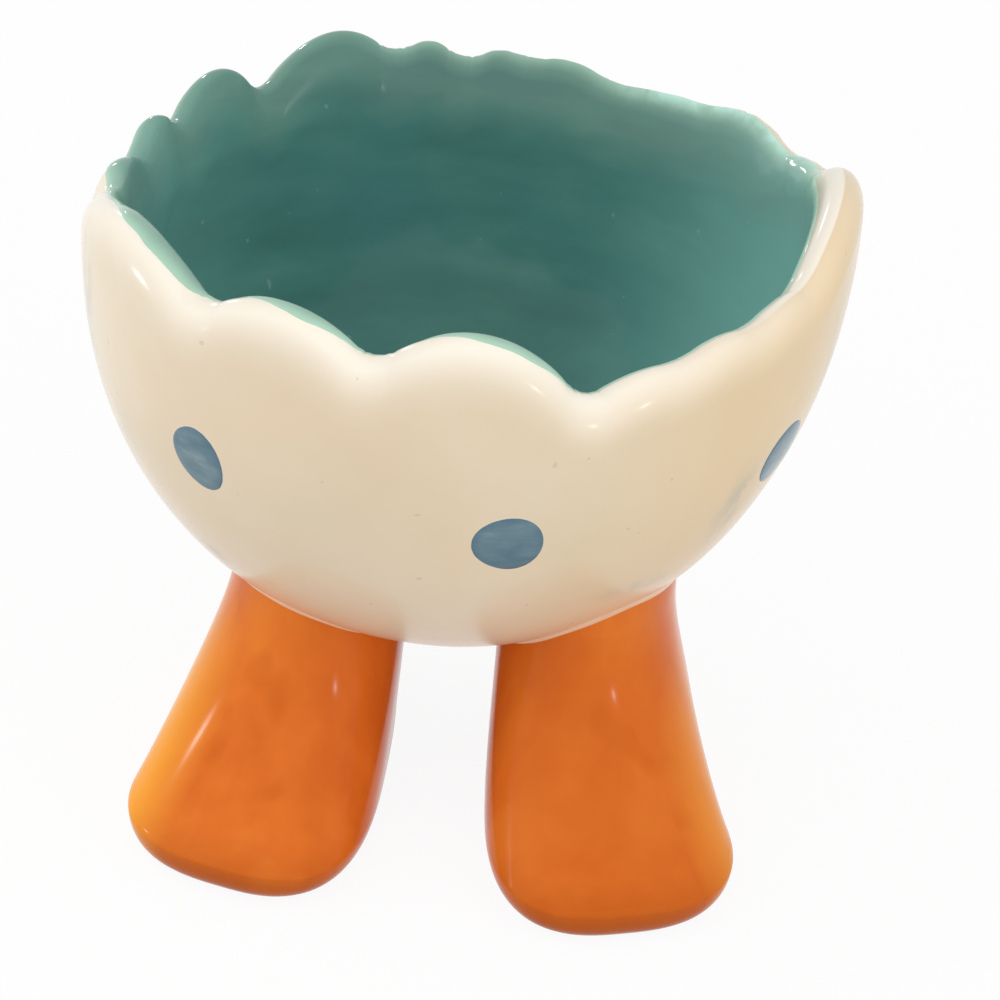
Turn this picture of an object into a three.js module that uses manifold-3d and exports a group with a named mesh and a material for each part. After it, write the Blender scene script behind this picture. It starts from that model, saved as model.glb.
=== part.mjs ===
// Egg cup: a half eggshell with a hatched rim, standing on two stub legs with splayed feet.
// Slip-cast earthenware with coloured glazes. Millimetres, +Z up, ground at Z = 0, toes towards -Y.
import * as THREE from 'three';
import { mergeVertices } from 'three/addons/utils/BufferGeometryUtils.js';
import Module from 'manifold-3d';

const wasm = await Module();
wasm.setup();

// Shell of the bowl, heights measured from its widest level
const BOWL_RADIUS = 28;
const BOWL_DEPTH = 33;
const SHELL_FULLNESS = 2.3;
const NECK_TAPER = 0.45;
const WALL = 3.4;
const LIP_RISE = 2.6;
const LIP_FALL = 6;
const LIP_BEVEL = 1.25;
// Back of the rim, where the lip was thumbed to a slow bevel: middle angle, half width, softness in degrees
const THUMBED_LIP = [112, 94, 28];
const BASE_THICKNESS = 4;
const GROUND_CLEARANCE = 13;
const BOWL_LEAN = 5;

// Hatched rim: valley angle in degrees, valley height, rise of the arch that follows the valley
const RIM_ARCHES = [
  [-179, -4.8, 0.1],
  [-153.2, -0.7, 1.7],
  [-126.4, -2.4, 2.9],
  [-98.2, -1.8, 4.4],
  [-67, -2.6, 1.1],
  [-51, 0, 0.9],
  [-37, 1.3, 0.6],
  [-23, 2.7, 3.7],
  [17, 3.4, 0.3],
  [33, 1.6, 1.1],
  [51, 1.6, 0.1],
  [72, 0, 1],
  [87, -0.1, 1.4],
  [98, -1.6, 2.2],
  [110, -1.6, 4],
  [135, -4.7, 4.5],
  [155, -5.9, 3.7],
  [166, -6.1, 1.7],
];
const ARCH_ROUNDNESS = 0.7;
const VALLEY_SOFTNESS = 2.8;

// Glaze coat inside the bowl, carried over the inner half of the lip
const GLAZE_THICKNESS = 0.5;
const GLAZE_LIP_ANGLE = 50;

// Painted spots, set round the bowl by eye: angle in degrees, height of the middle
const SPOTS = [
  [-123.8, -13.3],
  [-74, -13.2],
  [-22.5, -10.3],
  [30, -12.6],
  [82, -13.4],
  [133, -12.2],
  [-175, -13],
];
const SPOT_DIAMETER = 5.2;
const SPOT_THICKNESS = 0.35;

// Legs: one casting and its mirror image, turned out by hand; reaches are from the plane
// through the bowl's middle
const TOE_WIDTH = 16.3;
const ANKLE_WIDTH = 13;
const TOE_REACH = 26.1;
const HEEL_REACH = 9;
const CALF_REACH = 4;
const JOINT_RISE = 6;
const STANCE = 11.8;
const KNEE_STANCE = 10;
const LEGS_OFFSET = 1.3;
const TOE_FLARE = 0.35;
const LEFT_TOE_TURN = 8.3;
const RIGHT_TOE_TURN = 13.7;
const TOE_SKEW = 0.11;
const SOLE_SQUARENESS = 2.8;
const ANKLE_SQUARENESS = 2;
const SOLE_EDGE = 2.6;
const SOLE_INSET = 1.7;
const INSTEP_HOLLOW = 0.5;

// Joints: every seated piece stands off its neighbour by the same gap
const SEAT_GAP = 0.3;
const SEAM_WIDTH = 0.6;
const SEAM_HEIGHT = 0.9;

// Fineness of the surfaces
const BOWL_COLUMNS = 84;
const WALL_ROWS = 10;
const LIP_ROWS = 6;
const LEG_COLUMNS = 36;
const LEG_ROWS = 13;
const SPOT_COLUMNS = 14;

const WIDEST_HEIGHT = GROUND_CLEARANCE + BOWL_DEPTH;
const KNEE_HEIGHT = GROUND_CLEARANCE + JOINT_RISE;
const LEG_TOP = WIDEST_HEIGHT - BOWL_DEPTH / 3;
const rad = THREE.MathUtils.degToRad;
const lerp = THREE.MathUtils.lerp;
const vec = (x, y, z) => new THREE.Vector3(x, y, z);

const cream = new THREE.MeshStandardMaterial({ color: 0xeedfc6, roughness: 0.18, metalness: 0 });
const teal = new THREE.MeshStandardMaterial({ color: 0x538981, roughness: 0.15, metalness: 0 });
const orange = new THREE.MeshStandardMaterial({ color: 0xde7127, roughness: 0.18, metalness: 0 });
const slip = new THREE.MeshStandardMaterial({ color: 0xf1cdac, roughness: 0.3, metalness: 0 });
const blue = new THREE.MeshStandardMaterial({ color: 0x6a8a99, roughness: 0.25, metalness: 0 });

// Triangulated surface from points and corner numbers
function surface(points, corners) {
  const geometry = new THREE.BufferGeometry().setFromPoints(points);
  geometry.setIndex(corners);
  geometry.computeVertexNormals();
  return geometry;
}

// Closed skin through columns of points that all run from one pole to the other
function closedShell(columns, startPole, endPole) {
  const rows = columns[0].length;
  const points = [startPole, ...columns.flat(), endPole];
  const at = (column, row) => 1 + (column % columns.length) * rows + row;
  const corners = [];
  for (let c = 0; c < columns.length; c += 1) {
    corners.push(0, at(c + 1, 0), at(c, 0));
    for (let r = 0; r + 1 < rows; r += 1) {
      corners.push(at(c, r), at(c + 1, r), at(c + 1, r + 1));
      corners.push(at(c, r), at(c + 1, r + 1), at(c, r + 1));
    }
    corners.push(points.length - 1, at(c, rows - 1), at(c + 1, rows - 1));
  }
  return surface(points, corners);
}

// Closed bead through sections that follow each other round a loop
function closedBead(sections) {
  const size = sections[0].length;
  const at = (section, corner) => (section % sections.length) * size + (corner % size);
  const corners = [];
  for (let s = 0; s < sections.length; s += 1) {
    for (let k = 0; k < size; k += 1) {
      corners.push(at(s, k), at(s + 1, k), at(s + 1, k + 1));
      corners.push(at(s, k), at(s + 1, k + 1), at(s, k + 1));
    }
  }
  return surface(sections.flat(), corners);
}

function toSolid(geometry) {
  const bare = geometry.clone();
  bare.deleteAttribute('normal');
  const merged = mergeVertices(bare, 1e-4);
  const vertProperties = new Float32Array(merged.attributes.position.array);
  const triVerts = new Uint32Array(merged.index.array);
  return new wasm.Manifold(new wasm.Mesh({ numProp: 3, vertProperties, triVerts }));
}

function fromSolid(solid) {
  const mesh = solid.getMesh();
  const geometry = new THREE.BufferGeometry();
  geometry.setAttribute('position', new THREE.BufferAttribute(new Float32Array(mesh.vertProperties), 3));
  geometry.setIndex(new THREE.BufferAttribute(new Uint32Array(mesh.triVerts), 1));
  geometry.computeVertexNormals();
  return geometry;
}

// Radius of an egg of the given half width and depth; above its widest level it draws in slowly
function eggRadius(height, halfWidth, depth) {
  if (height > 0) return halfWidth - BOWL_RADIUS * NECK_TAPER * (height / BOWL_RADIUS) ** 2;
  const fall = Math.min(1, -height / depth);
  return halfWidth * (1 - fall ** SHELL_FULLNESS) ** (1 / SHELL_FULLNESS);
}

const outerRadius = (height) => eggRadius(height, BOWL_RADIUS, BOWL_DEPTH);
const innerRadius = (height) => eggRadius(height, BOWL_RADIUS - WALL, BOWL_DEPTH - BASE_THICKNESS);

// The front of each leg runs up to the shell at the joint's height
const SHIN_REACH = Math.sqrt(outerRadius(JOINT_RISE - BOWL_DEPTH) ** 2 - KNEE_STANCE ** 2);

// Height of the rim's crest at an angle in degrees, arches only
function archHeight(angle) {
  const turn = THREE.MathUtils.euclideanModulo(angle - RIM_ARCHES[0][0], 360) + RIM_ARCHES[0][0];
  let k = RIM_ARCHES.length - 1;
  while (RIM_ARCHES[k][0] > turn) k -= 1;
  const [start, low, rise] = RIM_ARCHES[k];
  const next = RIM_ARCHES[(k + 1) % RIM_ARCHES.length];
  const end = k + 1 < RIM_ARCHES.length ? next[0] : next[0] + 360;
  const t = (turn - start) / (end - start);
  return lerp(low, next[1], t) + rise * Math.sin(Math.PI * t) ** ARCH_ROUNDNESS;
}

// The clay is sponged after cutting, so the valleys are soft
function rimHeight(angle) {
  let sum = 0;
  for (let step = -2; step <= 2; step += 1) sum += archHeight(angle + step * VALLEY_SOFTNESS / 2);
  return sum / 5;
}

// Wall section from the axis to the top of the wall, denser near the axis
function wallPath(radiusAt, bottom, top) {
  const path = [];
  for (let i = 1; i <= WALL_ROWS; i += 1) {
    const height = bottom + (top - bottom) * (1 - Math.cos((i / WALL_ROWS) * Math.PI / 2));
    path.push(new THREE.Vector2(radiusAt(height), height));
  }
  return path;
}

const signedPower = (value, power) => Math.sign(value) * Math.abs(value) ** power;

// Soft step from 0 to 1
const ease = (t) => t * t * (3 - 2 * t);

// How far the lip is bevelled at an angle round the bowl: 0 where it is round, 1 where it was thumbed down
function thumbed(angle) {
  const [middle, half, soft] = THUMBED_LIP;
  const away = Math.abs(THREE.MathUtils.euclideanModulo(angle - middle + 180, 360) - 180);
  return ease(THREE.MathUtils.clamp((half - away) / soft, 0, 1));
}

const lipFall = (angle) => lerp(LIP_RISE, LIP_FALL, thumbed(angle));

// Lip from the outer to the inner wall at an angle round the bowl; from and to are degrees over the crest,
// 0 at its outer edge
function lipPath(angle, crest, from, to) {
  const fall = lipFall(angle);
  const bevel = lerp(2, LIP_BEVEL, thumbed(angle));
  const outer = outerRadius(crest - LIP_RISE);
  const inner = innerRadius(crest - fall);
  const path = [];
  for (let i = 1; i < LIP_ROWS; i += 1) {
    const over = lerp(from, to, i / LIP_ROWS);
    const [drop, power] = over < 90 ? [LIP_RISE, 1] : [fall, 2 / bevel];
    const out = (1 + signedPower(Math.cos(rad(over)), power)) / 2;
    const height = crest - drop * (1 - Math.sin(rad(over)) ** power);
    path.push(new THREE.Vector2(lerp(inner, outer, out), height));
  }
  return path;
}

const roundColumn = (path, angle) =>
  path.map((p) => vec(p.x * Math.cos(rad(angle)), p.x * Math.sin(rad(angle)), p.y));

const bowlAngles = Array.from({ length: BOWL_COLUMNS }, (_, i) => (i / BOWL_COLUMNS) * 360 - 180);

function bowlGeometry() {
  const columns = bowlAngles.map((angle) => {
    const crest = rimHeight(angle);
    const outside = wallPath(outerRadius, -BOWL_DEPTH, crest - LIP_RISE);
    const inside = wallPath(innerRadius, BASE_THICKNESS - BOWL_DEPTH, crest - lipFall(angle));
    return roundColumn([...outside, ...lipPath(angle, crest, 0, 180), ...inside.reverse()], angle);
  });
  return closedShell(columns, vec(0, 0, -BOWL_DEPTH), vec(0, 0, BASE_THICKNESS - BOWL_DEPTH));
}

// Path moved sideways into the hollow of the bowl
function movedIn(path, distance) {
  return path.map((p, i) => {
    const before = path[Math.max(0, i - 1)];
    const after = path[Math.min(path.length - 1, i + 1)];
    const along = after.clone().sub(before).normalize();
    return new THREE.Vector2(p.x - along.y * distance, p.y + along.x * distance);
  });
}

function glazeGeometry() {
  const floor = BASE_THICKNESS - BOWL_DEPTH;
  const columns = bowlAngles.map((angle) => {
    const crest = rimHeight(angle);
    const wall = wallPath(innerRadius, floor, crest - lipFall(angle));
    const path = [...wall, ...lipPath(angle, crest, 180, 180 - GLAZE_LIP_ANGLE)];
    const back = movedIn(path, SEAT_GAP);
    const face = movedIn(path, SEAT_GAP + GLAZE_THICKNESS);
    return roundColumn([...back, ...face.reverse()], angle);
  });
  const backPole = vec(0, 0, floor + SEAT_GAP);
  return closedShell(columns, backPole, vec(0, 0, floor + SEAT_GAP + GLAZE_THICKNESS));
}

// Lens of paint on the wall at angle zero, with a slightly uneven brushed edge
function spotGeometry(level, number) {
  const radius = outerRadius(level);
  const step = SPOT_DIAMETER / 4;
  const slope = (outerRadius(level + step) - outerRadius(level - step)) / (2 * step);
  const rise = 1 / Math.hypot(1, slope);
  const place = (reach, angle, lift) => {
    const height = level + reach * Math.sin(angle) * rise;
    const turn = reach * Math.cos(angle) / radius;
    const out = outerRadius(height) + lift * rise;
    return vec(out * Math.cos(turn), out * Math.sin(turn), height - lift * rise * slope);
  };
  const high = SEAT_GAP + SPOT_THICKNESS;
  const columns = [];
  for (let i = 0; i < SPOT_COLUMNS; i += 1) {
    const angle = (i / SPOT_COLUMNS) * 2 * Math.PI;
    const uneven = 0.05 * Math.sin(2 * angle + number) + 0.03 * Math.sin(3 * angle - number);
    const edge = SPOT_DIAMETER / 2 * (1 + uneven);
    columns.push([
      place(edge * 0.55, angle, SEAT_GAP),
      place(edge, angle, SEAT_GAP),
      place(edge * 0.9, angle, high),
      place(edge * 0.45, angle, high),
    ]);
  }
  return closedShell(columns, place(0, 0, SEAT_GAP), place(0, 0, high));
}

// Point on a leg at a height and an angle round it, from the middle of its foot; side is 1 or -1
function legPoint(side, height, angle, grow) {
  const t = THREE.MathUtils.clamp((height - SOLE_EDGE) / (KNEE_HEIGHT - SOLE_EDGE), 0, 1);
  const lift = ease(t ** INSTEP_HOLLOW);
  const narrow = ease(t);
  const down = Math.max(0, 1 - height / SOLE_EDGE);
  const inset = SOLE_INSET * (1 - Math.sqrt(1 - down * down)) - grow;
  const front = lerp(TOE_REACH, SHIN_REACH, lift) - inset;
  const back = lerp(HEEL_REACH, CALF_REACH, lift) - inset;
  const halfWidth = lerp(TOE_WIDTH, ANKLE_WIDTH, narrow) / 2 - inset;
  const corner = 2 / lerp(SOLE_SQUARENESS, ANKLE_SQUARENESS, narrow);
  const toe = signedPower(Math.cos(angle), corner);
  const along = (front + back) / 2 * toe;
  const across = halfWidth * signedPower(Math.sin(angle), corner)
    * (1 + TOE_FLARE * (1 - lift) * toe);
  const turn = rad(side < 0 ? LEFT_TOE_TURN : RIGHT_TOE_TURN) * (1 - lift);
  const skew = TOE_SKEW * (1 - lift) * (1 + toe) / 2;
  const x = lerp(0, KNEE_STANCE - STANCE, narrow) + across * Math.cos(turn) + along * Math.sin(turn);
  const y = (back - front) / 2 - along * Math.cos(turn) + across * (Math.sin(turn) + skew);
  return vec(side * x, y, height);
}

// Angles round a leg, counter-clockwise seen from above for either side
function legAngles(side) {
  const angles = Array.from({ length: LEG_COLUMNS }, (_, i) => (i / LEG_COLUMNS) * 2 * Math.PI);
  return side > 0 ? angles : angles.reverse();
}

// Heights of the leg's outlines: close together round the edge of the sole
function legHeights() {
  const heights = [0, 0.12, 0.35, 0.65, 1].map((t) => SOLE_EDGE * t);
  for (let i = 1; i <= LEG_ROWS; i += 1) heights.push(lerp(SOLE_EDGE, LEG_TOP, i / LEG_ROWS));
  return heights;
}

const bowlPose = new THREE.Matrix4().makeRotationY(rad(BOWL_LEAN)).setPosition(0, 0, WIDEST_HEIGHT);
const legPlace = (side) => vec(LEGS_OFFSET + side * STANCE, 0, 0);

// Plug of the bowl's own outline, grown by the gap and moved to where a leg sees it
function bowlPlug(side) {
  const path = wallPath((height) => eggRadius(height, BOWL_RADIUS + SEAT_GAP, BOWL_DEPTH + SEAT_GAP),
    -BOWL_DEPTH - SEAT_GAP, 0);
  const columns = bowlAngles.map((angle) => roundColumn(path, angle));
  const plug = closedShell(columns, vec(0, 0, -BOWL_DEPTH - SEAT_GAP), vec(0, 0, 0));
  const place = legPlace(side);
  return plug.applyMatrix4(bowlPose).translate(-place.x, -place.y, -place.z);
}

function legGeometry(side) {
  const heights = legHeights();
  const columns = legAngles(side).map((angle) => heights.map((height) => legPoint(side, height, angle, 0)));
  const middle = legPoint(side, 0, 0, 0).add(legPoint(side, 0, Math.PI, 0)).multiplyScalar(0.5);
  const top = legPoint(side, LEG_TOP, 0, 0).add(legPoint(side, LEG_TOP, Math.PI, 0)).multiplyScalar(0.5);
  const casting = toSolid(closedShell(columns, middle, top));
  return fromSolid(casting.subtract(toSolid(bowlPlug(side))));
}

// Above zero for a point, seen from a leg, that clears the bowl by more than the gap
function outsideBowl(point, side) {
  const p = point.clone().add(legPlace(side)).applyMatrix4(bowlPose.clone().invert());
  const width = Math.hypot(p.x, p.y) / (BOWL_RADIUS + SEAT_GAP);
  const drop = Math.max(0, -p.z) / (BOWL_DEPTH + SEAT_GAP);
  return width ** SHELL_FULLNESS + drop ** SHELL_FULLNESS - 1;
}

// Point where the side of a leg, grown by a given width, comes up to the bowl
function meetingPoint(side, angle, grow) {
  let low = 0;
  let high = LEG_TOP;
  for (let i = 0; i < 40; i += 1) {
    const middle = (low + high) / 2;
    if (outsideBowl(legPoint(side, middle, angle, grow), side) > 0) low = middle;
    else high = middle;
  }
  return legPoint(side, low, angle, grow);
}

// Bead of slip in the corner between leg and bowl
function seamGeometry(side) {
  const sections = legAngles(side).map((angle) => {
    const corner = meetingPoint(side, angle, SEAT_GAP);
    const onBowl = meetingPoint(side, angle, SEAT_GAP + SEAM_WIDTH);
    const onLeg = legPoint(side, corner.z - SEAM_HEIGHT, angle, SEAT_GAP);
    const waist = onBowl.clone().add(onLeg).multiplyScalar(0.5).lerp(corner, 0.15);
    return [corner, onLeg, waist, onBowl];
  });
  return closedBead(sections);
}

function named(name, geometry, material) {
  const mesh = new THREE.Mesh(geometry, material.clone());
  mesh.name = name;
  return mesh;
}

const eggCup = new THREE.Group();
eggCup.name = 'egg_cup';

const bowl = new THREE.Group();
bowl.name = 'bowl_with_glazes';
bowl.position.set(0, 0, WIDEST_HEIGHT);
bowl.rotation.y = rad(BOWL_LEAN);
bowl.add(named('egg_bowl', bowlGeometry(), cream));
bowl.add(named('inner_glaze', glazeGeometry(), teal));
SPOTS.forEach(([angle, level], i) => {
  const spot = named(`painted_spot_${i + 1}`, spotGeometry(level, i), blue);
  spot.rotation.z = rad(angle);
  bowl.add(spot);
});
eggCup.add(bowl);

for (const [word, side] of [['left', -1], ['right', 1]]) {
  const leg = named(`${word}_leg`, legGeometry(side), orange);
  const seam = named(`${word}_luting_seam`, seamGeometry(side), slip);
  leg.position.copy(legPlace(side));
  seam.position.copy(legPlace(side));
  eggCup.add(leg, seam);
}

export default eggCup;
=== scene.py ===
import math

import bpy
import numpy as np
from mathutils import Matrix, Vector, noise


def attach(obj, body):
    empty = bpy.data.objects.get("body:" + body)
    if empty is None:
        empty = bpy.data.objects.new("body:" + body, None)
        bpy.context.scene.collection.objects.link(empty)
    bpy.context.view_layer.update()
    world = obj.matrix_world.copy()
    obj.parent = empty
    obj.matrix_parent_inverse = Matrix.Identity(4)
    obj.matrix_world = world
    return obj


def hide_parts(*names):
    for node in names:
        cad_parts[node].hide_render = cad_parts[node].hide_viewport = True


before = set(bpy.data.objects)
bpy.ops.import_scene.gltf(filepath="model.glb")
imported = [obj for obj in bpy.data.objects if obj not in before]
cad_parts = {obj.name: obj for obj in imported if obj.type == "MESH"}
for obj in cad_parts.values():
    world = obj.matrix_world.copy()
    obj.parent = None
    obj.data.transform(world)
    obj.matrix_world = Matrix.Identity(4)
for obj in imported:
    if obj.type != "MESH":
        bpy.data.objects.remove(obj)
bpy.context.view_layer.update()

MM = 0.001

# Shell of the bowl, heights measured from its widest level
BOWL_RADIUS = 28.0
BOWL_DEPTH = 33.0
SHELL_FULLNESS = 2.3
NECK_TAPER = 0.45
WALL = 3.4
LIP_RISE = 2.6
LIP_FALL = 6.0
LIP_BEVEL = 1.25
# Back of the rim, where the lip was thumbed to a slow bevel: middle angle, half width, softness in degrees
THUMBED_LIP = (112, 94, 28)
BASE_THICKNESS = 4.0
GROUND_CLEARANCE = 13.0
BOWL_LEAN = 5.0
WIDEST_HEIGHT = GROUND_CLEARANCE + BOWL_DEPTH

# Hatched rim: valley angle in degrees, valley height, rise of the arch that follows the valley
RIM_ARCHES = [
    (-179, -4.8, 0.1),
    (-153.2, -0.7, 1.7),
    (-126.4, -2.4, 2.9),
    (-98.2, -1.8, 4.4),
    (-67, -2.6, 1.1),
    (-51, 0, 0.9),
    (-37, 1.3, 0.6),
    (-23, 2.7, 3.7),
    (17, 3.4, 0.3),
    (33, 1.6, 1.1),
    (51, 1.6, 0.1),
    (72, 0, 1),
    (87, -0.1, 1.4),
    (98, -1.6, 2.2),
    (110, -1.6, 4),
    (135, -4.7, 4.5),
    (155, -5.9, 3.7),
    (166, -6.1, 1.7),
]
ARCH_ROUNDNESS = 0.7
VALLEY_SOFTNESS = 2.8

# Where the rim was left rough under the glaze: middle angle, half width in degrees, height of the lumps
ROUGH_RIM = [(40, 24, 0.1), (92, 24, 0.05)]
ROUGH_GRAIN = 0.8
# The lumps end this many lip heights below the crest
ROUGH_DEPTH = 1.5

# Teal coat: how far it was brushed over the lip, in degrees from the outer edge (90 is the crest)
COAT_EDGE = [
    (-179, 58),
    (-170, 74),
    (-163, 80),
    (-157, 88),
    (-151, 68),
    (-146, 58),
    (-140, 56),
    (-133, 58),
    (-129, 72),
    (-125, 112),
    (-118, 90),
    (-112, 64),
    (-106, 66),
    (-102, 84),
    (-97, 114),
    (-92, 112),
    (-88, 86),
    (-82, 66),
    (-76, 60),
    (-71, 74),
    (-66, 112),
    (-34, 118),
    (-20, 144),
    (0, 168),
    (10, 156),
    (17, 95),
    (24, 82),
    (50, 77),
    (62, 66),
    (80, 60),
    (110, 50),
    (130, 30),
    (145, 18),
    (168, 15),
    (176, 32),
]
COAT_THICKNESS = 0.15
COAT_FEATHER = 0.6
COAT_THINNING = 8.0
COAT_ROOT = 0.25
COAT_EDGE_SINK = 0.03
# The brush's edge wanders by some degrees over a distance round the lip
BRUSH_WANDER = 5.0
BRUSH_SPAN = 2.3
# Painted light: sides of the bowl whose inner wall is painted paler: middle angle, half width in degrees,
# share of the paler colour
PAINTED_LIT_SIDES = [(2, 72, 0.85), (178, 50, 0.28)]
# The painted light fades slowly down the wall, by a power, and ends at a share of the bowl's depth above its
# floor
SIDE_LIGHT_FADE = 0.2
SIDE_LIGHT_END = 0.35
# Stretch of the crest where the coat is thin and a painted highlight shows pale: middle angle, half width in
# degrees, width
PALE_CREST = (42, 34, 0.7)

# Painted spots: angle and height of the middle, width, height, slant in degrees
SPOTS = [
    (-123.8, -13.3, 4.6, 5.5, 22),
    (-74, -13.2, 4.9, 5.4, 0),
    (-22.5, -10.3, 6.0, 5.3, 0),
    (30, -12.6, 5.2, 5.0, 0),
    (82, -13.4, 5.0, 5.2, 0),
    (133, -12.2, 5.3, 5.1, 0),
    (-175, -13, 5.2, 5.2, 0),
]
SPOT_SWELL = 0.07
SPOT_FLATNESS = 6
SPOT_ROOT = 0.2
SPOT_EDGE_SINK = 0.01
# The brush leaves a spot a little oval and a little three-cornered, by these shares
SPOT_OVAL = 0.05
SPOT_CORNERED = 0.03
# Grey marks on the cream, some of them near the leg joints: angle and height of the middle, half width, half
# height, strength
SMUDGES = [
    (-158, -9.0, 2.2, 6.0, 0.5),
    (-148, -16.5, 3.0, 2.2, 0.25),
    (-128, -23.6, 1.2, 0.8, 0.7),
    (-33, -13.2, 1.6, 3.2, 0.6),
    (-14, -4.0, 1.4, 6.0, 0.35),
    (-46, -19.5, 3.5, 0.8, 0.4),
]
# Reach of the painted glow round the leg joints, orange light thrown up from the legs
JOINT_GLOW_REACH = 2.6
# Parts of the bowl, each a middle angle, half width and softness in degrees: where the lip is painted whiter
# as a highlight, the end of the lip whose inside is painted bright too, and the side painted warmer and
# darker as shade
PAINTED_LIP_HIGHLIGHT = (-115, 108, 108)
PAINTED_END_HIGHLIGHT = (-8, 40, 40)
SHADED_SIDE = (-30, 50, 50)
LIP_HIGHLIGHT_REACH = 2.3

# Legs: mirror images but for the turn of the toes, reaches measured from the plane through the bowl's middle
TOE_WIDTH = 16.3
ANKLE_WIDTH = 13.0
TOE_REACH = 26.1
HEEL_REACH = 9.0
CALF_REACH = 4.0
JOINT_RISE = 6.0
STANCE = 11.8
KNEE_STANCE = 10.0
LEGS_OFFSET = 1.3
TOE_FLARE = 0.35
LEFT_TOE_TURN = 8.3
RIGHT_TOE_TURN = 13.7
TOE_SKEW = 0.11
SOLE_SQUARENESS = 2.8
ANKLE_SQUARENESS = 2.0
SOLE_EDGE = 2.6
SOLE_INSET = 1.7
INSTEP_HOLLOW = 0.5
KNEE_HEIGHT = GROUND_CLEARANCE + JOINT_RISE
LEG_ROOT = 1.2
# Above this no leg comes up to the bowl
LEG_CEILING = WIDEST_HEIGHT - BOWL_DEPTH / 3
# Orange glaze: thin glaze and painted light over each foot's outer edge, and the height of pooled glaze and
# painted shade round the toes
LEFT_THIN_AND_LIT = 1.3
RIGHT_THIN_AND_LIT = 0.8
TOE_POOL_AND_SHADE_HEIGHT = 4.5
# Share of a further coat brushed down the front of each leg
LEFT_COAT = 0.0
RIGHT_COAT = 0.5
# How the thin glaze and painted light fade round the leg and up it, and the further coat up it, as powers
THIN_AND_LIT_ROUND = 1.2
THIN_AND_LIT_UP = 0.7
COAT_UP = 0.3

# Luting seams: width on the bowl, height on the leg, how deep the root sits
LEFT_SEAM = (0.2, 0.3)
RIGHT_SEAM = (0.32, 0.38)
SEAM_ROOT = 0.3
SEAM_SINK = 0.04
SEAM_BULGE = 0.25
# The bead is fullest at an angle from the toe, thinner elsewhere, with lumps by share and number
SEAM_FULLEST = 35
SEAM_THINNEST = 0.45
SEAM_LUMP = 0.06
SEAM_LUMPS = 9

# Hand forming: how far the clay wanders from the mould's shape, over what distance, and which wander it is
HAND_WANDER = 0.14
HAND_SPAN = 11.0
HAND_SEED = 21

# Fineness of the skins
BOWL_COLUMNS = 600
WALL_ROWS = 70
LIP_ROWS = 22
LEG_COLUMNS = 160
LEG_ROWS = 60
SOLE_ROWS = 14
CAP_ROWS = 8
SPOT_COLUMNS = 72
SPOT_ROWS = 12
SEAM_POINTS = 7
JOINT_POINTS = 60
MEETING_HALVINGS = 40
# Steps whose mean softens a list of angles
SOFT_STEPS = (-2, -1, 0, 1, 2)

# Camera: where it stood, and the pixel at which it saw the middle of the bowl's widest level
VIEW_AZIMUTH = 4.4
VIEW_ELEVATION = 24.5
VIEW_DISTANCE = 224.0
VIEW_ROLL = 4.5
MIDDLE_PIXEL = (474.0, 194.1)
PICTURE_SIDE = 1000
FOCAL_PIXELS = 3082.8
SENSOR_WIDTH = 36.0
NEAREST_SEEN = 10.0


def ease(t):
    """Soft step from 0 to 1."""
    return t * t * (3 - 2 * t)


def signed_power(value, power):
    return np.sign(value) * np.abs(value) ** power


def mix(a, b, t):
    return a + (b - a) * t


def egg_radius(height, half_width, depth):
    """Radius of an egg of the given half width and depth; above its widest level it draws in slowly."""
    above = half_width - BOWL_RADIUS * NECK_TAPER * (height / BOWL_RADIUS) ** 2
    fall = np.clip(-height / depth, 0, 1)
    below = half_width * (1 - fall**SHELL_FULLNESS) ** (1 / SHELL_FULLNESS)
    return np.where(height > 0, above, below)


def outer_radius(height):
    return egg_radius(height, BOWL_RADIUS, BOWL_DEPTH)


def inner_radius(height):
    return egg_radius(height, BOWL_RADIUS - WALL, BOWL_DEPTH - BASE_THICKNESS)


SHIN_REACH = math.sqrt(outer_radius(np.float64(JOINT_RISE - BOWL_DEPTH)) ** 2 - KNEE_STANCE**2)


def arch_height(angle):
    """Height of the rim's crest at angles in degrees, arches only."""
    starts, lows, rises = np.array(RIM_ARCHES, float).T
    turn = (angle - starts[0]) % 360 + starts[0]
    k = np.searchsorted(starts, turn, side="right") - 1
    ends = np.append(starts[1:], starts[0] + 360)
    next_lows = np.roll(lows, -1)
    t = (turn - starts[k]) / (ends[k] - starts[k])
    arch = np.clip(np.sin(np.pi * t), 0, 1) ** ARCH_ROUNDNESS
    return lows[k] + (next_lows[k] - lows[k]) * t + rises[k] * arch


def rim_height(angle):
    """The clay is sponged after cutting, so the valleys are soft."""
    steps = [arch_height(angle + step * VALLEY_SOFTNESS / 2) for step in SOFT_STEPS]
    return np.mean(steps, axis=0)


def grain(points):
    """Smooth noise from -1 to 1 at each of the points."""
    flat = points.reshape(-1, 3)
    values = [noise.noise(Vector(p)) for p in flat]
    return np.array(values).reshape(points.shape[:-1])


def ring(angle, radius, height):
    """Points at angles in degrees round the bowl's axis."""
    turn = np.radians(angle)
    return np.stack([radius * np.cos(turn), radius * np.sin(turn), height + 0 * radius], axis=-1)


def rough_rim(angle):
    """How lumpy the rim is at each angle."""
    lumps = np.zeros_like(angle, float)
    for middle, half, height in ROUGH_RIM:
        away = np.abs((angle - middle + 180) % 360 - 180) / half
        lumps = np.maximum(lumps, height * np.sqrt(np.clip(1 - away, 0, 1)))
    return lumps


def beside(angle, middle, half, soft):
    """1 round the middle angle, falling to 0 at the half width over the softness, all in degrees."""
    away = np.abs((angle - middle + 180) % 360 - 180)
    return ease(np.clip((half - away) / soft, 0, 1))


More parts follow.
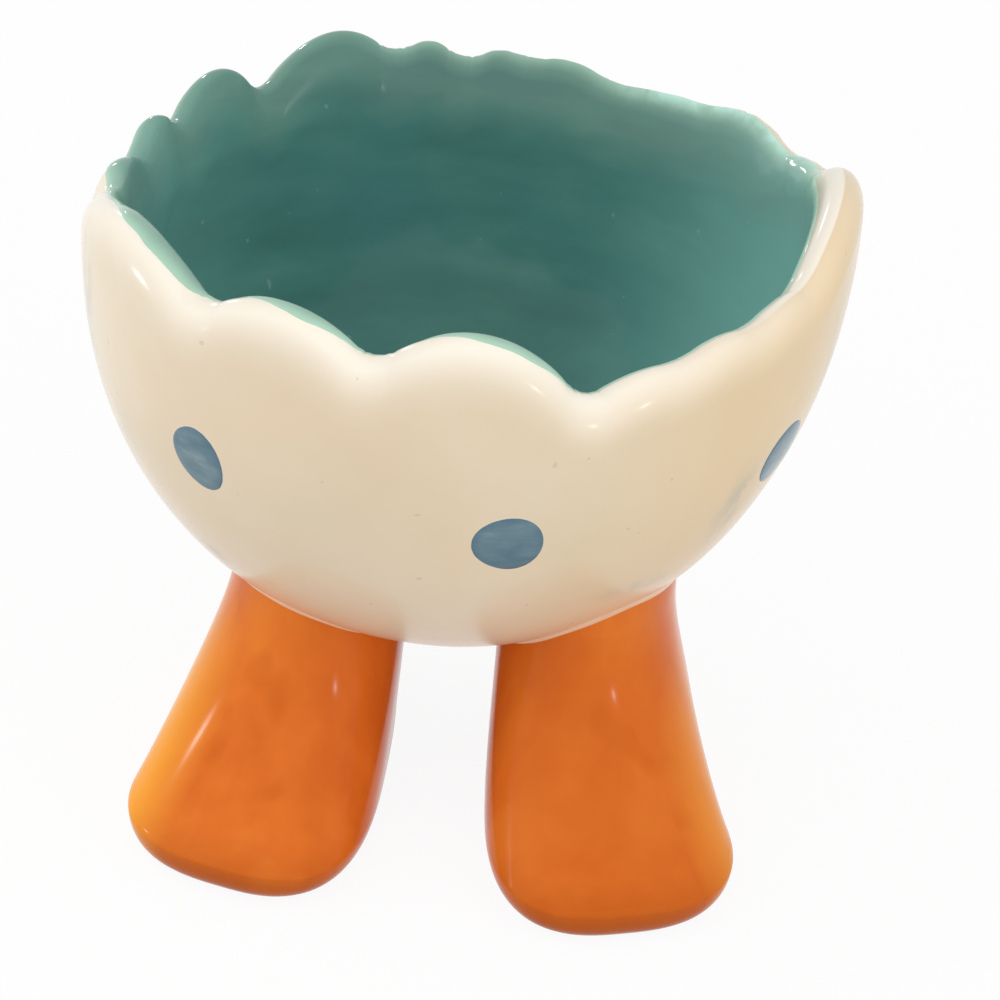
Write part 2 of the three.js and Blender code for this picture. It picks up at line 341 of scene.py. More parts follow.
def wall_section(radius_at, bottom, top):
    """Rows of a wall from the axis to its top: radius and height at each column."""
    share = 1 - np.cos(np.linspace(0, math.pi / 2, WALL_ROWS + 1)[1:])
    height = bottom + np.outer(share, top - bottom)
    return np.stack([radius_at(height), height], axis=-1)


def lip_fall(angle):
    """How far the lip comes down on its inside."""
    return mix(LIP_RISE, LIP_FALL, beside(angle, *THUMBED_LIP))


def lip_section(angle, crest, start, end):
    """Rows over the lip, from start to end in degrees from its outer edge over the crest."""
    fall = lip_fall(angle)
    outer = outer_radius(crest - LIP_RISE)
    inner = inner_radius(crest - fall)
    share = np.linspace(0, 1, LIP_ROWS + 1)[1:-1, None]
    a = np.radians(start + (end - start) * share)
    bevel = mix(2, LIP_BEVEL, beside(angle, *THUMBED_LIP))
    power = np.where(a < math.pi / 2, 1, 2 / bevel)
    drop = np.where(a < math.pi / 2, LIP_RISE, fall) * (1 - np.sin(a) ** power)
    out = signed_power(np.cos(a), power)
    return np.stack([(outer + inner) / 2 + (outer - inner) / 2 * out, crest - drop], axis=-1)


def moved_in(section, distance):
    """The section moved sideways, into the hollow of the bowl, by a distance for each of its points."""
    along = np.gradient(section, axis=0)
    along = along / np.linalg.norm(along, axis=-1, keepdims=True)
    sideways = np.stack([-along[..., 1], along[..., 0]], axis=-1)
    return section + sideways * np.broadcast_to(distance, section.shape[:2])[..., None]


def round_bowl(section, angles):
    """Points of a section, one column for each angle."""
    return ring(angles[None, :], section[..., 0], section[..., 1])


def leaned(points):
    """From the bowl's own frame to the cup's: it leans to the right over its legs."""
    lean = math.radians(BOWL_LEAN)
    x, y, z = np.moveaxis(points, -1, 0)
    return np.stack(
        [
            x * math.cos(lean) + z * math.sin(lean),
            y,
            z * math.cos(lean) - x * math.sin(lean) + WIDEST_HEIGHT,
        ],
        axis=-1,
    )


def upright(points):
    """From the cup's frame to the bowl's own."""
    lean = math.radians(BOWL_LEAN)
    x, y, z = np.moveaxis(points, -1, 0)
    z = z - WIDEST_HEIGHT
    return np.stack(
        [x * math.cos(lean) - z * math.sin(lean), y, z * math.cos(lean) + x * math.sin(lean)], axis=-1
    )


def hand_formed(points):
    """Clay points moved a little, as a thumb and a sponge leave them; what stands on the ground stays."""
    flat = points.reshape(-1, 3)
    wander = np.array([noise.noise_vector(Vector(p / HAND_SPAN)) for p in flat])
    off_ground = np.clip(flat[:, 2:] / KNEE_HEIGHT, 0, 1)
    return (flat + HAND_WANDER * off_ground * wander).reshape(points.shape)


def skin(name, rows, start_pole=None, end_pole=None, **marks):
    """Closed mesh through rows of points that run round a loop; without poles the rows close in a ring."""
    count, columns = rows.shape[:2]
    points = rows.reshape(-1, 3)
    faces = []
    last = count if start_pole is None else count - 1
    for r in range(last):
        low, high = r * columns, (r + 1) % count * columns
        for c in range(columns):
            n = (c + 1) % columns
            faces.append((low + c, low + n, high + n, high + c))
    if start_pole is not None:
        first, final = count * columns, count * columns + 1
        points = np.vstack([points, start_pole, end_pole])
        top = (count - 1) * columns
        faces += [(first, (c + 1) % columns, c) for c in range(columns)]
        faces += [(final, top + c, top + (c + 1) % columns) for c in range(columns)]
    mesh = bpy.data.meshes.new(name)
    mesh.from_pydata((points * MM).tolist(), [], faces)
    if signed_volume(points, faces) < 0:
        mesh.flip_normals()
    for mark, values in marks.items():
        poles = [values.reshape(count, columns)[i].mean() for i in (0, -1)] if start_pole is not None else []
        layer = mesh.attributes.new(mark, "FLOAT", "POINT")
        layer.data.foreach_set("value", np.append(values.ravel(), poles))
    mesh.shade_smooth()
    piece = bpy.data.objects.new(name, mesh)
    bpy.context.scene.collection.objects.link(piece)
    return piece


def signed_volume(points, faces):
    """Above zero where the faces point out."""
    fans = [(f[0], f[i], f[i + 1]) for f in faces for i in range(1, len(f) - 1)]
    a, b, c = np.moveaxis(points[np.array(fans)], 1, 0)
    return np.einsum("ij,ij->i", a, np.cross(b, c)).sum()


def glazed(piece, material, slot, *nodes):
    """Gives a piece its finish and its place on the part."""
    piece.data.materials.append(material)
    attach(piece, "root")
    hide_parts(*nodes)


# Bowl, lining and spots

BOWL_ANGLES = np.linspace(-180, 180, BOWL_COLUMNS, endpoint=False)
CREST = rim_height(BOWL_ANGLES)
LIP_FOOT = CREST - lip_fall(BOWL_ANGLES)
FLOOR = BASE_THICKNESS - BOWL_DEPTH


def lumpy(points, section, angles):
    """Small lumps on the rough stretches of the rim, fading out below the lip."""
    below = CREST[None, :] - section[..., 1]
    fade = np.clip(ROUGH_DEPTH - below / LIP_RISE, 0, 1)
    lumps = rough_rim(angles)[None, :] * fade * grain(points / ROUGH_GRAIN)
    core = np.stack([(outer_radius(LIP_FOOT) + inner_radius(LIP_FOOT)) / 2, LIP_FOOT], axis=-1)
    away = section - core[None]
    away = away / np.linalg.norm(away, axis=-1, keepdims=True)
    return round_bowl(section + away * lumps[..., None], angles)


def distance_to_joints(points):
    """How far points lie from the nearest leg joint."""
    angle = np.linspace(0, 2 * math.pi, JOINT_POINTS, endpoint=False)
    joints = [leg_point(side, meeting_height(side, angle), angle) for side in (-1, 1)]
    away = points.reshape(-1, 1, 3) - np.concatenate(joints)[None]
    return np.linalg.norm(away, axis=-1).min(axis=1).reshape(points.shape[:-1])


def make_egg_bowl(material):
    outside = wall_section(outer_radius, -BOWL_DEPTH, CREST - LIP_RISE)
    inside = wall_section(inner_radius, FLOOR, LIP_FOOT)
    section = np.concatenate([outside, lip_section(BOWL_ANGLES, CREST, 0, 180), inside[::-1]])
    points = lumpy(round_bowl(section, BOWL_ANGLES), section, BOWL_ANGLES)
    poles = np.array([[0, 0, -BOWL_DEPTH], [0, 0, FLOOR]], float)
    rows = leaned(points)
    smudge = np.zeros(rows.shape[:2])
    for angle, level, half_width, half_height, strength in SMUDGES:
        across = np.radians((BOWL_ANGLES - angle + 180) % 360 - 180) * section[..., 0] / half_width
        up = (section[..., 1] - level) / half_height
        smudge = np.maximum(smudge, strength * np.exp(-(across**2) - up**2))
    smudge[WALL_ROWS + LIP_ROWS:] = 0
    # Painted highlight: the lip is whitened towards its crest, and the inside of its right end as well
    wiped = np.tile(np.sqrt(beside(BOWL_ANGLES, *PAINTED_LIP_HIGHLIGHT)), (len(section), 1))
    wiped[WALL_ROWS + LIP_ROWS // 2:] += beside(BOWL_ANGLES, *PAINTED_END_HIGHLIGHT)
    marks = {
        "smudge": smudge,
        # Painted shade: the right side of the bowl made warmer and darker
        "flush": np.broadcast_to(beside(BOWL_ANGLES, *SHADED_SIDE), rows.shape[:2]),
        # Painted light: a peach glow round the leg joints, thrown up from the orange legs
        "stain": np.exp(-distance_to_joints(rows) / JOINT_GLOW_REACH),
        "bare": np.exp((section[..., 1] - CREST) / LIP_HIGHLIGHT_REACH) * wiped,
    }
    bowl = skin("egg_bowl_clay", hand_formed(rows), *hand_formed(leaned(poles)), **marks)
    glazed(bowl, material, "cream_glaze", "egg_bowl")


def coat_edge(angle):
    """Lip angle at which the brushed coat ends, soft between the given angles and a little unsteady."""
    at, reach = np.array(COAT_EDGE, float).T
    steps = [np.interp(angle + step, at, reach, period=360) for step in SOFT_STEPS]
    unsteady = grain(ring(angle, BOWL_RADIUS + 0 * angle, 0 * angle) / BRUSH_SPAN)
    return np.mean(steps, axis=0) + BRUSH_WANDER * unsteady


def make_lining(material):
    wall = wall_section(inner_radius, FLOOR, LIP_FOOT)
    lip = lip_section(BOWL_ANGLES, CREST, 180, coat_edge(BOWL_ANGLES)[None, :])
    section = np.concatenate([wall, lip])
    step = np.linalg.norm(np.diff(section, axis=0), axis=-1)
    to_edge = np.vstack([np.cumsum(step[::-1], axis=0)[::-1], np.zeros((1, BOWL_COLUMNS))])
    body = np.clip(to_edge / COAT_FEATHER, 0, 1)
    rise = COAT_THICKNESS * (1 - (1 - body) ** 2) - COAT_EDGE_SINK * (1 - body)
    face = moved_in(section, rise)
    back = moved_in(section, -COAT_ROOT)
    both = np.concatenate([back, face[::-1]])
    lumps = lumpy(round_bowl(both, BOWL_ANGLES), both, BOWL_ANGLES)
    poles = np.array([[0, 0, FLOOR - COAT_ROOT], [0, 0, FLOOR + COAT_THICKNESS]], float)
    depth = np.clip(to_edge / COAT_THINNING, 0, 1)
    coat = np.concatenate([np.ones_like(depth), depth[::-1]])
    # Painted light: the side walls inside made paler, fading down the wall
    height_share = np.clip((both[..., 1] - FLOOR) / BOWL_DEPTH, 0, 1)
    side_light_fade = height_share**SIDE_LIGHT_FADE * ease(np.clip(height_share / SIDE_LIGHT_END, 0, 1))
    wash = np.zeros(both.shape[:2])
    for middle, half, share in PAINTED_LIT_SIDES:
        wash += share * beside(BOWL_ANGLES, middle, half, half) * side_light_fade
    # Thin coat and a painted highlight, pale along the back-right crest
    middle, half, width = PALE_CREST
    crest_radius = (outer_radius(CREST - LIP_RISE) + inner_radius(LIP_FOOT)) / 2
    off_crest = np.hypot(both[..., 0] - crest_radius, both[..., 1] - CREST)
    broken = beside(BOWL_ANGLES, middle, half, half / 2) * np.exp(-((off_crest / width) ** 2))
    rows = hand_formed(leaned(lumps))
    poles = hand_formed(leaned(poles))
    lining = skin("teal_lining", rows, *poles, coat=coat, wash=wash, broken=broken)
    glazed(lining, material, "teal_glaze", "inner_glaze")


def make_painted_spot(number, angle, level, width, height, slant, material):
    """Lens of paint that swells a hair's breadth out of the glaze."""
    radius = float(outer_radius(np.float64(level)))
    slope = (outer_radius(np.float64(level + 1)) - outer_radius(np.float64(level - 1))) / 2
    rise = 1 / math.hypot(1, slope)
    turn = np.linspace(0, 2 * math.pi, SPOT_COLUMNS, endpoint=False)
    reach = np.linspace(0, 1, SPOT_ROWS + 1)[1:, None]
    brush = 1 + SPOT_OVAL * np.sin(2 * turn + number) + SPOT_CORNERED * np.sin(3 * turn - number)
    across = reach * brush * width / 2 * np.cos(turn)
    up = reach * brush * height / 2 * np.sin(turn)
    tilt = math.radians(slant)
    side = across * math.cos(tilt) - up * math.sin(tilt)
    climb = across * math.sin(tilt) + up * math.cos(tilt)

    def on_wall(lift):
        at = level + climb * rise
        out = outer_radius(at) + lift * rise
        return ring(angle + np.degrees(side / radius), out, at - lift * rise * slope)

    face = on_wall(SPOT_SWELL * (1 - reach**SPOT_FLATNESS) - SPOT_EDGE_SINK * reach)
    back = on_wall(-SPOT_ROOT + 0 * reach)
    rows = hand_formed(leaned(np.concatenate([back, face[::-1]])))
    poles = hand_formed(leaned(np.array([
        ring(angle, np.array(radius + lift * rise), np.array(level - lift * rise * slope))
        for lift in (-SPOT_ROOT, SPOT_SWELL)
    ])))
    edge = np.concatenate([reach + 0 * turn, (reach + 0 * turn)[::-1]])
    spot = skin(f"spot_{number}", rows, *poles, edge=edge)
    glazed(spot, material, "blue_underglaze", f"painted_spot_{number}")


# Legs and seams


def leg_point(side, height, angle, grow=0.0):
    """Points on a leg at heights and angles round it; side is 1 or -1, grow stands them off the leg."""
    t = np.clip((height - SOLE_EDGE) / (KNEE_HEIGHT - SOLE_EDGE), 0, 1)
    lift = ease(t**INSTEP_HOLLOW)
    narrow = ease(t)
    down = np.clip(1 - height / SOLE_EDGE, 0, 1)
    inset = SOLE_INSET * (1 - np.sqrt(1 - down * down)) - grow
    front = mix(TOE_REACH, SHIN_REACH, lift) - inset
    back = mix(HEEL_REACH, CALF_REACH, lift) - inset
    half_width = mix(TOE_WIDTH, ANKLE_WIDTH, narrow) / 2 - inset
    corner = 2 / mix(SOLE_SQUARENESS, ANKLE_SQUARENESS, narrow)
    toe = signed_power(np.cos(angle), corner)
    along = (front + back) / 2 * toe
    across = half_width * signed_power(np.sin(angle), corner)
    across = across * (1 + TOE_FLARE * (1 - lift) * toe)
    turn = math.radians(LEFT_TOE_TURN if side < 0 else RIGHT_TOE_TURN) * (1 - lift)
    skew = TOE_SKEW * (1 - lift) * (1 + toe) / 2
    x = mix(0, KNEE_STANCE - STANCE, narrow) + across * np.cos(turn) + along * np.sin(turn)
    y = (back - front) / 2 - along * np.cos(turn) + across * (np.sin(turn) + skew)
    return np.stack([LEGS_OFFSET + side * (STANCE + x), y, height + 0 * x], axis=-1)


def shell_share(points, sunk=0.0):
    """1 on the bowl's outer skin, or on one sunk into its wall, and more outside it."""
    x, y, z = np.moveaxis(upright(points), -1, 0)
    width = np.hypot(x, y) / (BOWL_RADIUS - sunk)
    drop = np.clip(-z, 0, None) / (BOWL_DEPTH - sunk)
    return (width**SHELL_FULLNESS + drop**SHELL_FULLNESS) ** (1 / SHELL_FULLNESS)


def meeting_height(side, angle, sunk=0.0, grow=0.0):
    """Height at which the side of a leg comes up to the bowl."""
    low = np.zeros_like(angle)
    high = np.full_like(angle, LEG_CEILING)
    for _ in range(MEETING_HALVINGS):
        middle = (low + high) / 2
        outside = shell_share(leg_point(side, middle, angle, grow), sunk) > 1
        low = np.where(outside, middle, low)
        high = np.where(outside, high, middle)
    return low


def pressed(points, sunk):
    """Points moved straight to the bowl's skin, or to one sunk into its wall."""
    own = upright(points)
    return leaned(own / shell_share(points, sunk)[..., None])


def make_leg(word, side, material):
    angle = np.linspace(0, 2 * math.pi, LEG_COLUMNS, endpoint=False)
    edge_rows = SOLE_EDGE * np.sin(np.linspace(0, math.pi / 2, SOLE_ROWS))[:, None] + 0 * angle
    share = np.linspace(0, 1, LEG_ROWS + 1)[1:, None]
    side_rows = mix(SOLE_EDGE, meeting_height(side, angle, LEG_ROOT), share)
    rows = leg_point(side, np.vstack([edge_rows, side_rows]), angle[None, :])
    rim = rows[-1]
    middle = rim.mean(axis=0)
    cap = np.array([mix(rim, middle, t) for t in np.linspace(0, 1, CAP_ROWS + 1)[1:]])
    cap = pressed(cap, LEG_ROOT)
    sole = rows[0].mean(axis=0)
    rows = np.concatenate([rows, cap[:-1]])
    thin_and_lit_share = LEFT_THIN_AND_LIT if side < 0 else RIGHT_THIN_AND_LIT
    low = np.clip(1 - rows[..., 2] / KNEE_HEIGHT, 0, 1)
    # Thin glaze and painted light, yellower on the outer side of each foot
    thin = thin_and_lit_share * np.clip(np.sin(angle), 0, 1) ** THIN_AND_LIT_ROUND * low**THIN_AND_LIT_UP
    # Pooled glaze and painted shade, darker on the toes' lower front
    pool = np.clip(np.cos(angle), 0, 1) * np.clip(1 - rows[..., 2] / TOE_POOL_AND_SHADE_HEIGHT, 0, 1)
    coat = (LEFT_COAT if side < 0 else RIGHT_COAT) * np.clip(np.cos(angle), 0, 1) * low**COAT_UP
    tip = hand_formed(cap[-1][:1])[0]
    leg = skin(f"{word}_leg_casting", hand_formed(rows), sole, tip, thin=thin, pool=pool, coat=coat)
    glazed(leg, material, "orange_glaze", f"{word}_leg")


def make_luting_seam(word, side, material):
    """Bead of slip that fills the corner between leg and bowl, fullest in front on the leg's outer side."""
    width, height = LEFT_SEAM if side < 0 else RIGHT_SEAM
    angle = np.linspace(0, 2 * math.pi, LEG_COLUMNS, endpoint=False)
    full = np.clip(np.cos(angle - math.radians(SEAM_FULLEST)), 0, 1)
    size = mix(SEAM_THINNEST, 1, full) + SEAM_LUMP * np.sin(angle * SEAM_LUMPS)
    corner_height = meeting_height(side, angle)
    corner = leg_point(side, corner_height, angle)
    root = leg_point(side, meeting_height(side, angle, SEAM_ROOT, -SEAM_ROOT), angle, -SEAM_ROOT)
    reach = width * size
    on_bowl = pressed(leg_point(side, meeting_height(side, angle, 0, reach), angle, reach), SEAM_SINK)
    on_leg = leg_point(side, corner_height - height * size, angle, -SEAM_SINK)
    rows = [root, on_bowl]
    for t in np.linspace(0, 1, SEAM_POINTS)[1:-1]:
        straight = mix(on_bowl, on_leg, t)
        rows.append(mix(straight, corner, -SEAM_BULGE * math.sin(math.pi * t)))
    rows.append(on_leg)
    seam = skin(f"{word}_slip_bead", hand_formed(np.array(rows)))
    glazed(seam, material, "pale_slip", f"{word}_luting_seam")


# Materials

# Share of a glaze's mirror gloss that is kept: all round the cup is white, which would veil the colours
GLAZE_GLOSS = 0.15
ORANGE_GLOSS = 0.08
GLAZE_IOR = 1.5
# Waves that a brushed glaze keeps after firing
RIPPLE_SIZE = 6.0
RIPPLE_DETAIL = 0.6
BLOTCH_ROUGHNESS = 0.55
EVEN = (1, 1, 1)


def linear(code):
    """Linear colour from an sRGB hex code."""
    parts = [int(code[i:i + 2], 16) / 255 for i in (1, 3, 5)]
    return [p / 12.92 if p <= 0.04045 else ((p + 0.055) / 1.055) ** 2.4 for p in parts] + [1.0]


def per_metre(size):
    """Texture scale for a pattern of a real size in millimetres."""
    return 1 / (size * MM)


def add(tree, kind, settings=None, links=None):
    """Adds a node with its settings, its colour stops among them, and links its inputs."""
    made = tree.nodes.new(kind)
    for key, value in (settings or {}).items():
        if key == "stops":
            stops = made.color_ramp.elements
            while len(stops) < len(value):
                stops.new(1.0)
            for stop, (place, colour) in zip(stops, value):
                stop.position = place
                stop.color = colour
        elif isinstance(key, int) or key in made.inputs:
            made.inputs[key].default_value = value
        else:
            setattr(made, key, value)
    for key, socket in (links or {}).items():
        tree.links.new(socket, made.inputs[key])
    return made


def new_material(name):
    material = bpy.data.materials.new(name)
    material.use_nodes = True
    material.node_tree.nodes.clear()
    return material, material.node_tree


def spread_of(tree, at, source):
    """How something is spread over a piece: a mark that its maker wrote on the points, given by name,
    or blotches, given by their real size in millimetres, their detail and their stretch along the axes."""
    if isinstance(source, str):
        return add(tree, "ShaderNodeAttribute", {"attribute_name": source}).outputs["Fac"]
    size, detail, stretch = source
    scaled = add(tree, "ShaderNodeMapping", {"Scale": [1 / s for s in stretch]}, {"Vector": at})
    blotches = {"Scale": per_metre(size), "Detail": detail, "Roughness": BLOTCH_ROUGHNESS}
    return add(tree, "ShaderNodeTexNoise", blotches, {"Vector": scaled.outputs["Vector"]}).outputs["Fac"]


def layer_share(tree, at, source, steps=None):
    """How much of a layer lies at each point: the spread itself, or the share that its steps give for it."""
    spread = spread_of(tree, at, source)
    if steps is None:
        return spread
    stops = [(place, (share, share, share, 1.0)) for place, share in steps]
    return add(tree, "ShaderNodeValToRGB", {"stops": stops}, {"Fac": spread}).outputs["Color"]


def glaze(name, body, layers, roughness, ripple, gloss=GLAZE_GLOSS):
    """A fired glaze. Its body is a spread and the tones along it, each layer is a colour and the shares that
    together say where it lies, and the ripple of its surface is a height in millimetres."""
    material, tree = new_material(name)
    at = add(tree, "ShaderNodeTexCoord").outputs["Object"]
    source, tones = body
    stops = [(place, linear(code)) for place, code in tones]
    spread = spread_of(tree, at, source)
    colour = add(tree, "ShaderNodeValToRGB", {"stops": stops}, {"Fac": spread}).outputs["Color"]
    for code, *shares in layers:
        amount = layer_share(tree, at, *shares[0])
        for share in shares[1:]:
            factors = {0: amount, 1: layer_share(tree, at, *share)}
            amount = add(tree, "ShaderNodeMath", {"operation": "MULTIPLY"}, factors).outputs[0]
        over = {"data_type": "RGBA", 7: linear(code)}
        colour = add(tree, "ShaderNodeMix", over, {0: amount, 6: colour}).outputs[2]
    waves = spread_of(tree, at, (RIPPLE_SIZE, RIPPLE_DETAIL, EVEN))
    bump = add(tree, "ShaderNodeBump", {"Strength": 1.0, "Distance": ripple * MM}, {"Height": waves})
    shader = add(
        tree,
        "ShaderNodeBsdfPrincipled",
        {"Roughness": roughness, "IOR": GLAZE_IOR, "Specular IOR Level": gloss},
        {"Base Color": colour, "Normal": bump.outputs["Normal"]},
    )
    add(tree, "ShaderNodeOutputMaterial", None, {"Surface": shader.outputs["BSDF"]})
    return material


def cream_glaze():
    """Clear gloss glaze on slip-cast cream earthenware: a warm white with faint peach clouds, painted shade
    that makes the right side warmer and darker, grey smudges, a painted highlight that whitens the lip
    towards its crest, a painted peach glow round the legs for light thrown up from them, and a few iron
    specks."""
    clay = (15, 3.0, EVEN), [(0.3, "#e9d9bc"), (0.55, "#eedfc6"), (0.75, "#f1e5cf")]
    peach_clouds = "#f1d5b6", ((21, 2.0, EVEN), [(0.5, 0.0), (0.75, 0.4)])
    # Painted shade, warmer and darker, on the right side
    flush = "#ebd1a8", ("flush", [(0.0, 0.0), (1.0, 0.8)])
    smudges = "#a9ada4", ("smudge",), ((1.6, 4.0, (1, 1, 2)), [(0.35, 0.25), (0.65, 1.0)])
    # Painted highlight, whiter towards the lip's crest
    lip_highlight = "#fff8ea", ("bare", [(0.12, 0.0), (0.75, 0.9)])
    # Painted light, a peach glow round the leg joints that lifts the shade there
    joint_glow = "#ffd9bf", ("stain", [(0.08, 0.0), (0.9, 0.6)])
    iron_specks = "#9b8468", ((0.7, 0.0, EVEN), [(0.85, 0.0), (0.88, 0.2)])
    layers = [peach_clouds, flush, smudges, lip_highlight, joint_glow, iron_specks]
    return glaze("cream_glazed_earthenware", clay, layers, roughness=0.18, ripple=0.03)


def teal_glaze():
    """Teal gloss glaze brushed round the inside: bands from the brush, bluer clouds where it pooled, paler
    on the side walls as painted light, greyer towards the lip where the clay shows through it, palest at its
    edge and on the back-right crest, where the coat is thin and a highlight is painted, and a few pale
    flecks."""
    bands = (15, 5.0, (1, 1, 0.3)), [(0.3, "#4a7d75"), (0.5, "#538981"), (0.72, "#61978b")]
    pooled = "#4b8285", ((17, 1.0, EVEN), [(0.4, 0.0), (0.7, 0.5)])
    # Painted light, paler teal on the side walls
    wash = "#97d5cb", ("wash",)
    single_coat = "#829380", ("coat", [(0.1, 0.3), (0.5, 0.28), (0.95, 0.0)])
    thin_edge = "#bfe4cc", ("coat", [(0.0, 0.85), (0.09, 0.5), (0.2, 0.15), (0.32, 0.0)])
    # Thin coat and painted highlight along the back-right crest
    pale_crest_and_sheen = "#c8f2e4", ("broken",), ((1.8, 3.0, EVEN), [(0.35, 0.15), (0.6, 0.9)])
    flecks = "#9fc4b6", ((0.9, 0.0, EVEN), [(0.84, 0.0), (0.87, 0.3)])
    layers = [pooled, wash, single_coat, thin_edge, pale_crest_and_sheen, flecks]
    return glaze("teal_brushed_glaze", bands, layers, roughness=0.1, ripple=0.03)


def orange_glaze():
    """Orange gloss glaze brushed down the legs in two or three coats: redder where it lies thick and where a
    further coat was brushed down the front, darkest round the toes where it pools and painted shade lies on
    their lower front, and yellow on the outer edge where it thins and painted light brightens it."""
    coats = (8, 4.0, (1, 1, 2)), [(0.3, "#d2641f"), (0.5, "#de7127"), (0.7, "#e8802f")]
    thick = "#c85c16", ((5, 1.5, (1, 1, 3)), [(0.56, 0.0), (0.62, 0.35)])
    further_coat = "#cb601b", ("coat",)
    # Pooled glaze and painted shade on the toes' lower front
    pool = "#b0520e", ("pool", [(0.1, 0.0), (0.6, 0.6)])
    # Thin glaze and painted light on the outer edge
    thin = "#ffac38", ("thin", [(0.25, 0.0), (0.8, 0.95)])
    layers = [thick, further_coat, pool, thin]
    return glaze("orange_brushed_glaze", coats, layers, roughness=0.16, ripple=0.05, gloss=ORANGE_GLOSS)


def blue_underglaze():
    """Blue underglaze put on with a wet brush under the clear glaze: watery strokes, darker where the colour
    gathered at the edge."""
    strokes = (2.4, 4.0, (1.6, 1.6, 0.6)), [(0.3, "#577889"), (0.55, "#6e8b97"), (0.75, "#8da3aa")]
    gathered = "#54778d", ("edge", [(0.72, 0.0), (0.95, 0.6)])
    return glaze("blue_brushed_underglaze", strokes, [gathered], roughness=0.12, ripple=0.02)


def pale_slip():
    """Slip wiped into the joint under thin glaze: pale clay stained by the orange beside it."""
    wiped = (3, 4.0, EVEN), [(0.3, "#efc09a"), (0.7, "#f4d9bd")]
    return glaze("pale_wiped_slip", wiped, [], roughness=0.25, ripple=0.02)


# Stage, light and camera

AMBIENT = 0.25
# Broad light from round about: azimuth, elevation, where it begins (1 is its middle), strength
GLOWS = [
    (-72, 40, 0.5, 0.92),
    (10, 5, 0.3, 0.77),
    (85, 20, 0.4, 0.76),
    (0, 90, 0.5, 0.25),
]
# Lamps: name, azimuth, elevation, distance, width, height, and brightness in units of the picture's white.
# The left one stands low and near, where the bowl itself keeps it from shining into its inside.
LAMPS = [
    ("left_lamp", -78, 5, 82.5, 7, 4.5, 85),
    ("front_lamp", 47, 4.6, 600, 28, 38, 118),
    ("back_lamp", -148, 14, 600, 44, 44, 30),
]
# Share of the floor's white that does not depend on the light, so that only a soft shadow shows on it
FLOOR_LIFT = 0.92
FLOOR_SIDE = 3000.0
LIT_MIDDLE = (0, 0, 30)


def direction(azimuth, elevation):
    """Unit vector away from the cup; azimuth 0 is in front of it, 90 on its right."""
    a, e = math.radians(azimuth), math.radians(elevation)
    return Vector((math.sin(a) * math.cos(e), -math.cos(a) * math.cos(e), math.sin(e)))


def seen_straight(tree):
    """1 for rays from the camera and for those that mirror or pass through, so that they meet white."""
    path = add(tree, "ShaderNodeLightPath")
    mirrored = add(
        tree,
        "ShaderNodeMath",
        {"operation": "MAXIMUM"},
        {0: path.outputs["Is Camera Ray"], 1: path.outputs["Is Glossy Ray"]},
    )
    passed = add(
        tree,
        "ShaderNodeMath",
        {"operation": "MAXIMUM"},
        {0: mirrored.outputs[0], 1: path.outputs["Is Transmission Ray"]},
    )
    return passed.outputs[0]


def make_world():
    world = bpy.data.worlds.new("white_studio")
    world.use_nodes = True
    tree = world.node_tree
    tree.nodes.clear()
    at = add(tree, "ShaderNodeTexCoord").outputs["Generated"]
    soft = add(tree, "ShaderNodeBackground", {"Color": linear("#ffffff"), "Strength": AMBIENT}).outputs[0]
    for azimuth, elevation, start, strength in GLOWS:
        facing = add(
            tree,
            "ShaderNodeVectorMath",
            {"operation": "DOT_PRODUCT", 1: direction(azimuth, elevation)},
            {0: at},
        )
        stops = [(start, linear("#000000")), (1.0, linear("#ffffff"))]
        spread = add(tree, "ShaderNodeValToRGB", {"stops": stops}, {"Fac": facing.outputs["Value"]})
        glow = add(
            tree, "ShaderNodeBackground", {"Strength": strength}, {"Color": spread.outputs["Color"]}
        )
        soft = add(tree, "ShaderNodeAddShader", None, {0: soft, 1: glow.outputs[0]}).outputs[0]
    white = add(tree, "ShaderNodeBackground", {"Color": linear("#ffffff"), "Strength": 1.0})
    both = add(
        tree,
        "ShaderNodeMixShader",
        None,
        {0: seen_straight(tree), 1: soft, 2: white.outputs["Background"]},
    )
    add(tree, "ShaderNodeOutputWorld", None, {"Surface": both.outputs["Shader"]})
    bpy.context.scene.world = world


def make_floor():
    material, tree = new_material("white_paper_sweep")
    bounce = add(tree, "ShaderNodeBsdfDiffuse", {"Color": linear("#cfccc7")})
    paper = add(tree, "ShaderNodeBsdfDiffuse", {"Color": linear("#fafafa")})
    white = add(tree, "ShaderNodeEmission", {"Color": linear("#ffffff"), "Strength": 1.0})
    lit = add(
        tree,
        "ShaderNodeMixShader",
        {0: FLOOR_LIFT},
        {1: paper.outputs["BSDF"], 2: white.outputs["Emission"]},
    )
    both = add(
        tree,
        "ShaderNodeMixShader",
        None,
        {0: seen_straight(tree), 1: bounce.outputs["BSDF"], 2: lit.outputs["Shader"]},
    )
    add(tree, "ShaderNodeOutputMaterial", None, {"Surface": both.outputs["Shader"]})
    half = FLOOR_SIDE / 2 * MM
    mesh = bpy.data.meshes.new("paper_floor")
    corners = [(-half, -half, 0), (half, -half, 0), (half, half, 0), (-half, half, 0)]
    mesh.from_pydata(corners, [], [(0, 1, 2, 3)])
    mesh.materials.append(material)
    floor = bpy.data.objects.new("paper_floor", mesh)
    bpy.context.scene.collection.objects.link(floor)


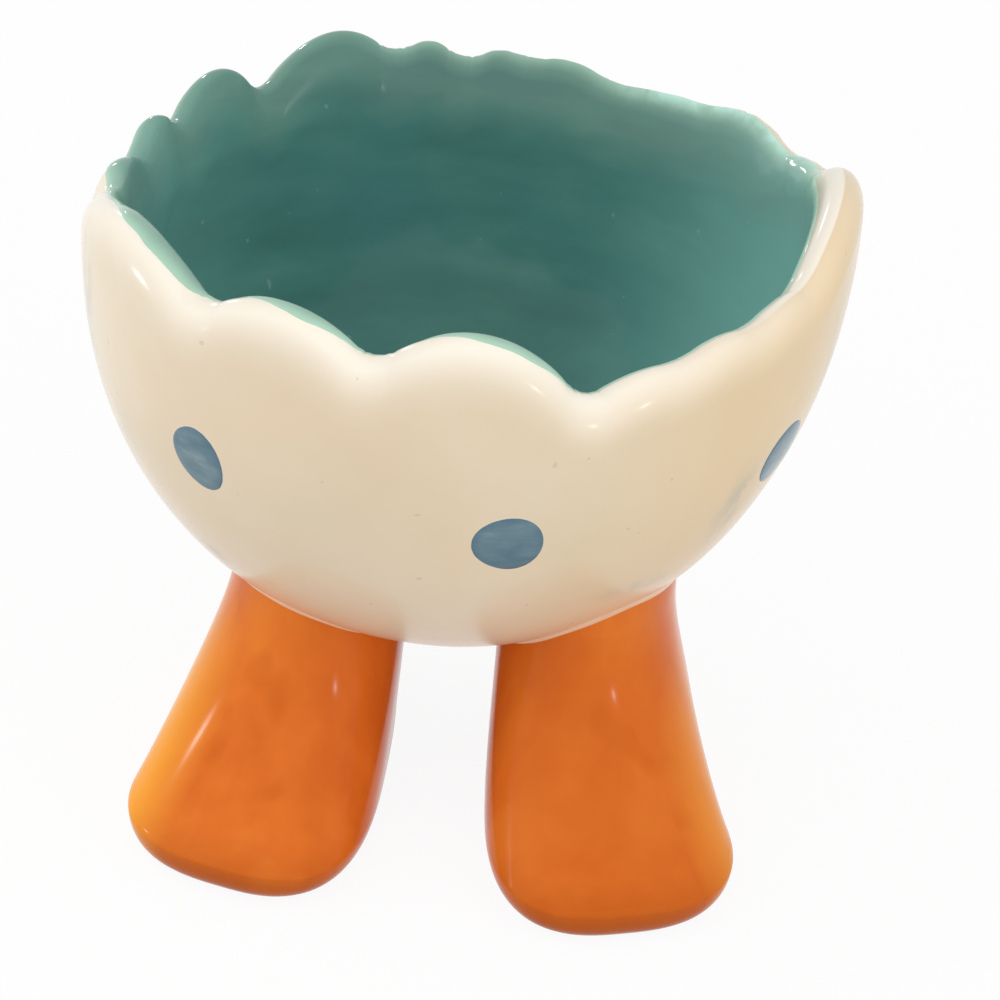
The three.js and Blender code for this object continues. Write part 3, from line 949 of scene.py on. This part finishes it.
def add_lamp(name, azimuth, elevation, distance, width, height, brightness):
    """Oval lamp that faces the cup."""
    data = bpy.data.lights.new(name, "AREA")
    data.shape = "ELLIPSE"
    data.size = width * MM
    data.size_y = height * MM
    data.energy = brightness * math.pi * data.size * data.size_y * math.pi / 4
    away = direction(azimuth, elevation)
    lamp = bpy.data.objects.new(name, data)
    lamp.location = (Vector(LIT_MIDDLE) + distance * away) * MM
    lamp.rotation_euler = away.to_track_quat("Z", "Y").to_euler()
    bpy.context.scene.collection.objects.link(lamp)


def make_camera():
    """Camera at the photograph's angle, swung so that the bowl's middle is seen at its pixel."""
    back = direction(VIEW_AZIMUTH, VIEW_ELEVATION)
    right = direction(VIEW_AZIMUTH + 90, 0)
    facing = Matrix((right, back.cross(right), back)).transposed()
    u, v = MIDDLE_PIXEL
    half = PICTURE_SIDE / 2
    towards = Vector((u - half, half - v, -FOCAL_PIXELS)).normalized()
    swing = Vector((0, 0, -1)).rotation_difference(towards).to_matrix()
    turn = facing @ Matrix.Rotation(math.radians(VIEW_ROLL), 3, "Z") @ swing.transposed()
    data = bpy.data.cameras.new("camera")
    data.sensor_width = SENSOR_WIDTH
    data.lens = FOCAL_PIXELS / PICTURE_SIDE * SENSOR_WIDTH
    data.clip_start = NEAREST_SEEN * MM
    camera = bpy.data.objects.new("camera", data)
    middle = Vector((0, 0, WIDEST_HEIGHT))
    camera.matrix_world = Matrix.Translation((middle + VIEW_DISTANCE * back) * MM) @ turn.to_4x4()
    bpy.context.scene.collection.objects.link(camera)
    bpy.context.scene.camera = camera


noise.seed_set(HAND_SEED)
make_egg_bowl(cream_glaze())
make_lining(teal_glaze())
blue = blue_underglaze()
for number, spot in enumerate(SPOTS, start=1):
    make_painted_spot(number, *spot, blue)
orange = orange_glaze()
slip = pale_slip()
for word, side in (("left", -1), ("right", 1)):
    make_leg(word, side, orange)
    make_luting_seam(word, side, slip)

make_world()
make_floor()
for lamp in LAMPS:
    add_lamp(*lamp)
make_camera()
bpy.context.scene.view_settings.view_transform = "Standard"
